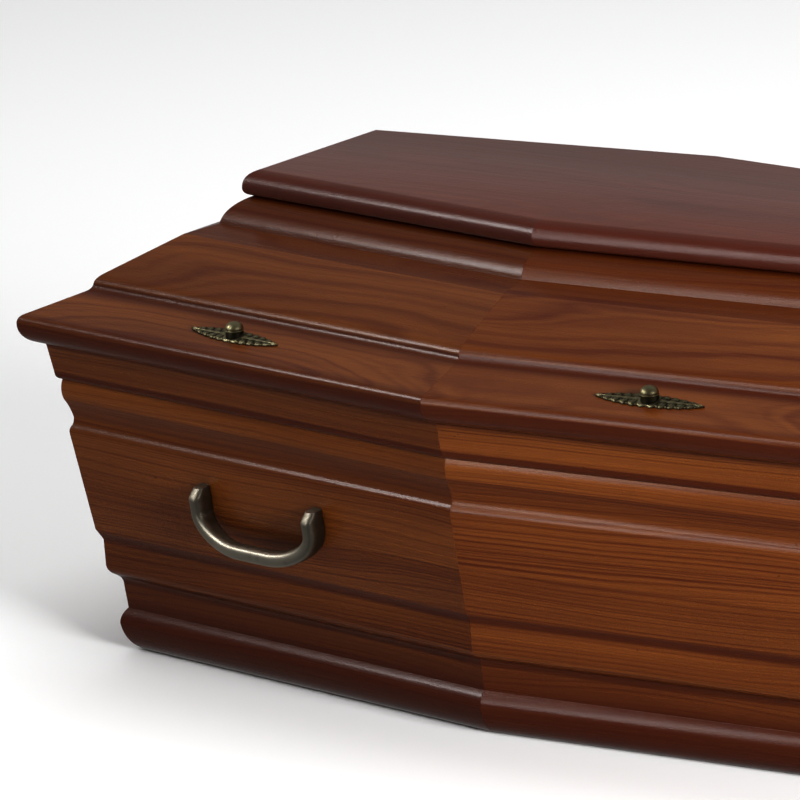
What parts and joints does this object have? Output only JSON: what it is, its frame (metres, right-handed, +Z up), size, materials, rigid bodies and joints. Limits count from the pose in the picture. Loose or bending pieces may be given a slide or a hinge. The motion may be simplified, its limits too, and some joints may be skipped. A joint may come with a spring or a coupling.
{
  "type": "wooden coffin",
  "caption": "Shouldered wooden coffin with leaning moulded walls, a stepped lift-off lid under a flat top board, cast bail handles and leaf-plated lid screws.",
  "frame": {"origin": "on the floor under the middle of the coffin: the middle of its length, on its centre line, at the underside", "axes": "+X along the coffin from the head end to the foot end, +Y across it to the back, +Z up"},
  "size_m": [1.9996, 0.71, 0.508],
  "materials": {
    "side_wood": "reddish-brown stained wood with straight grain, semi-gloss lacquer",
    "lid_wood": "reddish-brown stained wood with straight grain, semi-gloss lacquer",
    "top_wood": "darker red-brown stained wood, semi-gloss lacquer with a fine orange-peel surface",
    "base_wood": "bare, lightly oiled wood",
    "antique_brass": "antiqued brass, dark in the hollows and bright on the edges"
  },
  "bodies": {
    "root": {"base_board": "base_wood", "wall_shoulder_front": "side_wood", "wall_long_front": "side_wood", "wall_foot_end": "side_wood", "wall_long_back": "side_wood", "wall_shoulder_back": "side_wood", "wall_head_end": "side_wood", "lid_top_board": "top_wood", "lid_board_shoulder_front": "lid_wood", "lid_board_long_front": "lid_wood", "lid_board_foot_end": "lid_wood", "lid_board_long_back": "lid_wood", "lid_board_shoulder_back": "lid_wood", "lid_board_head_end": "lid_wood", "handle_shoulder_front": "antique_brass", "handle_long_front_1": "antique_brass", "handle_long_front_2": "antique_brass", "handle_long_back_1": "antique_brass", "handle_long_back_2": "antique_brass", "handle_shoulder_back": "antique_brass", "screw_plate_shoulder_front": "antique_brass", "screw_plate_long_front_1": "antique_brass", "screw_plate_long_front_2": "antique_brass", "screw_plate_long_front_3": "antique_brass", "screw_plate_long_back_1": "antique_brass", "screw_plate_long_back_2": "antique_brass", "screw_plate_long_back_3": "antique_brass", "screw_plate_shoulder_back": "antique_brass", "screw_knob_shoulder_front": "antique_brass", "screw_knob_long_front_1": "antique_brass", "screw_knob_long_front_2": "antique_brass", "screw_knob_long_front_3": "antique_brass", "screw_knob_long_back_1": "antique_brass", "screw_knob_long_back_2": "antique_brass", "screw_knob_long_back_3": "antique_brass", "screw_knob_shoulder_back": "antique_brass"}
  },
  "joints": []
}
